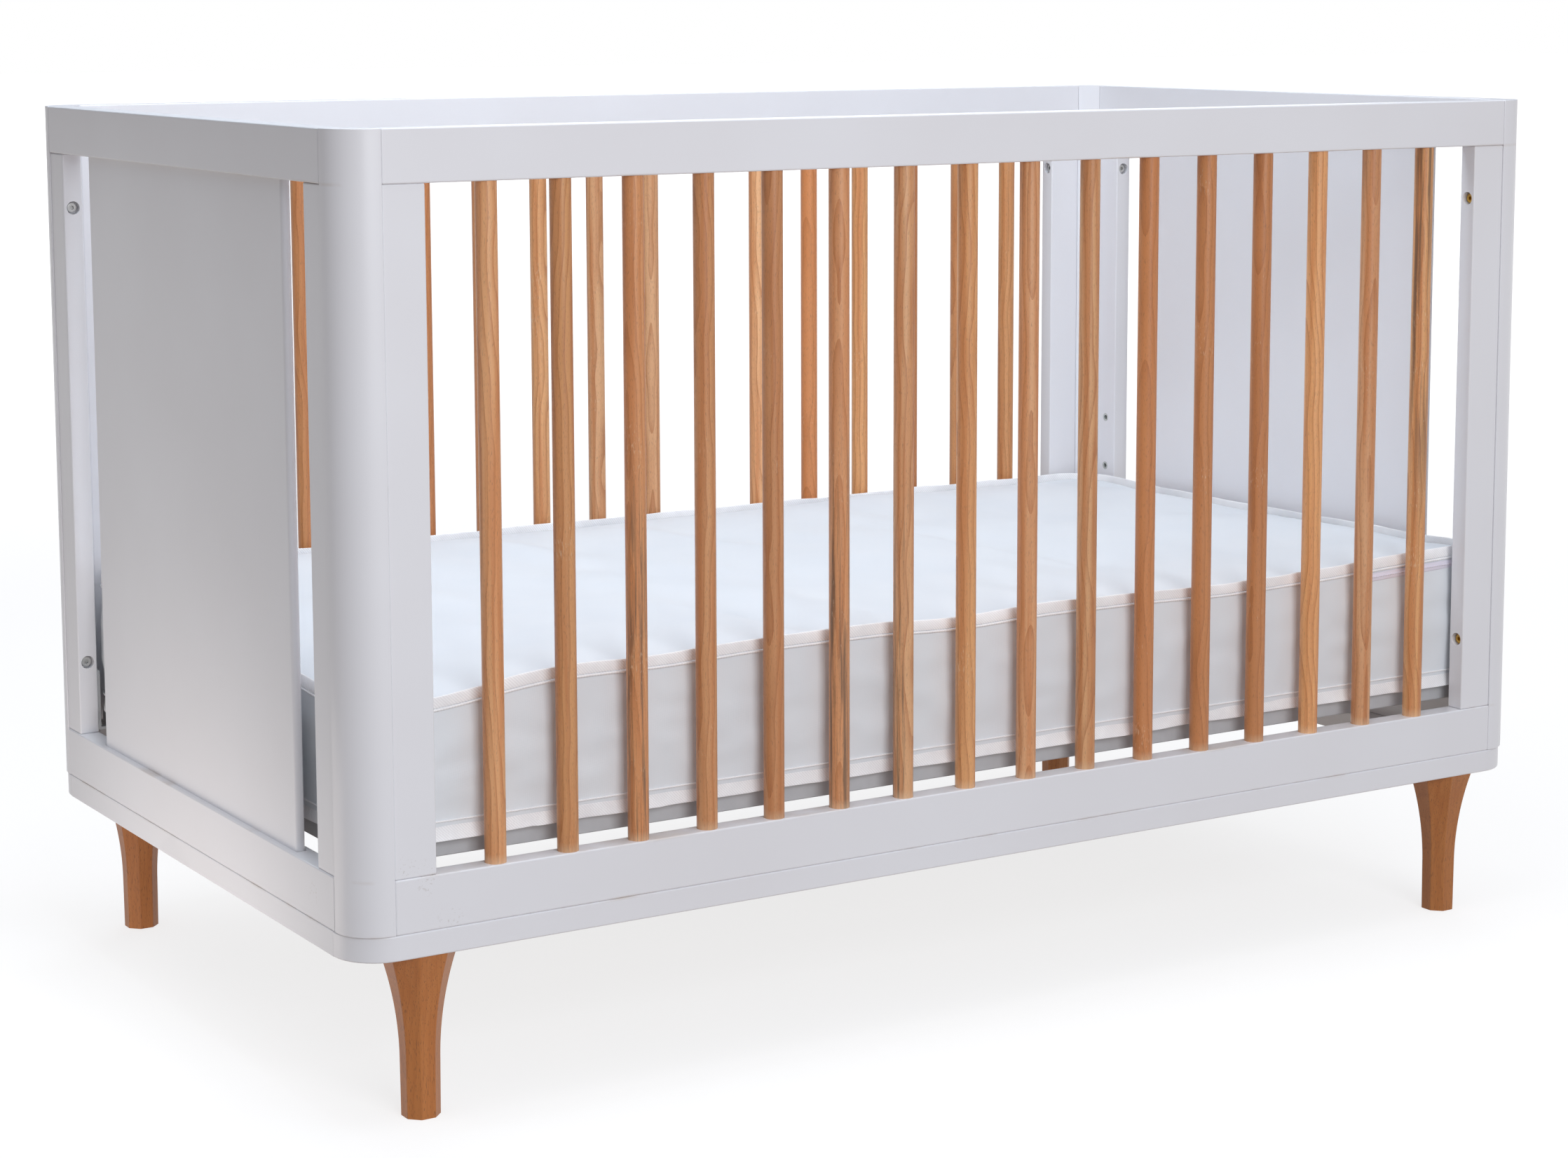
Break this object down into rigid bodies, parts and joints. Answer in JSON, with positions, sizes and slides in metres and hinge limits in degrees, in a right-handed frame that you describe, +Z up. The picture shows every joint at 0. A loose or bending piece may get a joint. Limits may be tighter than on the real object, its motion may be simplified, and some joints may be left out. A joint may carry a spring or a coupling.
{
  "type": "baby crib",
  "caption": "White baby crib: quarter-round corner posts, round natural-wood side slats, solid panel ends, a plinth on flared wooden legs, and a height-adjustable mattress base with a mattress.",
  "frame": {"origin": "centre of the footprint, on the floor under the legs", "axes": "+X along the length, -Y is the front slatted side, +Z up"},
  "size_m": [1.365, 0.76, 0.872],
  "materials": {
    "white_lacquer": "sprayed satin white lacquer on solid wood",
    "washed_slat_wood": "clear matt oil on turned solid wood",
    "leg_wood": "clear satin lacquer on solid beech",
    "raw_wood": "unfinished beech",
    "foam": "cut polyurethane foam",
    "cover_cloth": "coated polyester cloth, smooth",
    "top_cloth": "coated polyester cloth, smooth",
    "binding_tape": "braided polyester binding tape",
    "zip_nylon": "moulded nylon",
    "base_board": "satin grey-white paint on board",
    "bracket_steel": "powder-coated pressed steel",
    "bolt_steel": "zinc-plated steel",
    "insert_zinc": "die-cast zinc"
  },
  "bodies": {
    "crib_frame": {"bracket_bolts": "bolt_steel", "corner_blocks": "raw_wood", "frame_bolts": "bolt_steel", "front_left_leg": "leg_wood", "front_left_post": "white_lacquer", "front_left_stile": "white_lacquer", "front_lower_rail": "white_lacquer", "front_plinth_board": "white_lacquer", "front_right_leg": "leg_wood", "front_right_post": "white_lacquer", "front_right_stile": "white_lacquer", "front_slat_01": "washed_slat_wood", "front_slat_02": "washed_slat_wood", "front_slat_03": "washed_slat_wood", "front_slat_04": "washed_slat_wood", "front_slat_05": "washed_slat_wood", "front_slat_06": "washed_slat_wood", "front_slat_07": "washed_slat_wood", "front_slat_08": "washed_slat_wood", "front_slat_09": "washed_slat_wood", "front_slat_10": "washed_slat_wood", "front_slat_11": "washed_slat_wood", "front_slat_12": "washed_slat_wood", "front_slat_13": "washed_slat_wood", "front_slat_14": "washed_slat_wood", "front_slat_15": "washed_slat_wood", "front_slat_16": "washed_slat_wood", "front_top_rail": "white_lacquer", "left_front_stile": "white_lacquer", "left_lower_rail": "white_lacquer", "left_panel": "white_lacquer", "left_plinth_board": "white_lacquer", "left_rear_stile": "white_lacquer", "left_top_rail": "white_lacquer", "rear_left_leg": "leg_wood", "rear_left_post": "white_lacquer", "rear_left_stile": "white_lacquer", "rear_lower_rail": "white_lacquer", "rear_plinth_board": "white_lacquer", "rear_right_leg": "leg_wood", "rear_right_post": "white_lacquer", "rear_right_stile": "white_lacquer", "rear_slats": "washed_slat_wood", "rear_top_rail": "white_lacquer", "right_front_stile": "white_lacquer", "right_lower_rail": "white_lacquer", "right_panel": "white_lacquer", "right_plinth_board": "white_lacquer", "right_rear_stile": "white_lacquer", "right_top_rail": "white_lacquer", "threaded_inserts": "insert_zinc", "wood_dowels": "raw_wood"},
    "mattress_support": {"support_board": "base_board", "support_brackets": "bracket_steel", "bracket_screws": "bolt_steel"},
    "mattress": {"mattress_core": "foam", "mattress_cover": "cover_cloth", "mattress_top_panel": "top_cloth", "mattress_tapes": "binding_tape", "mattress_zip": "zip_nylon"}
  },
  "joints": [
    {"name": "support_height", "type": "slide", "parent": "crib_frame", "child": "mattress_support", "axis": [0, 0, 1], "range_m": [0, 0.183]},
    {"name": "mattress_lift", "type": "slide", "parent": "mattress_support", "child": "mattress", "axis": [0, 0, 1], "range_m": [0, 0.65]}
  ]
}
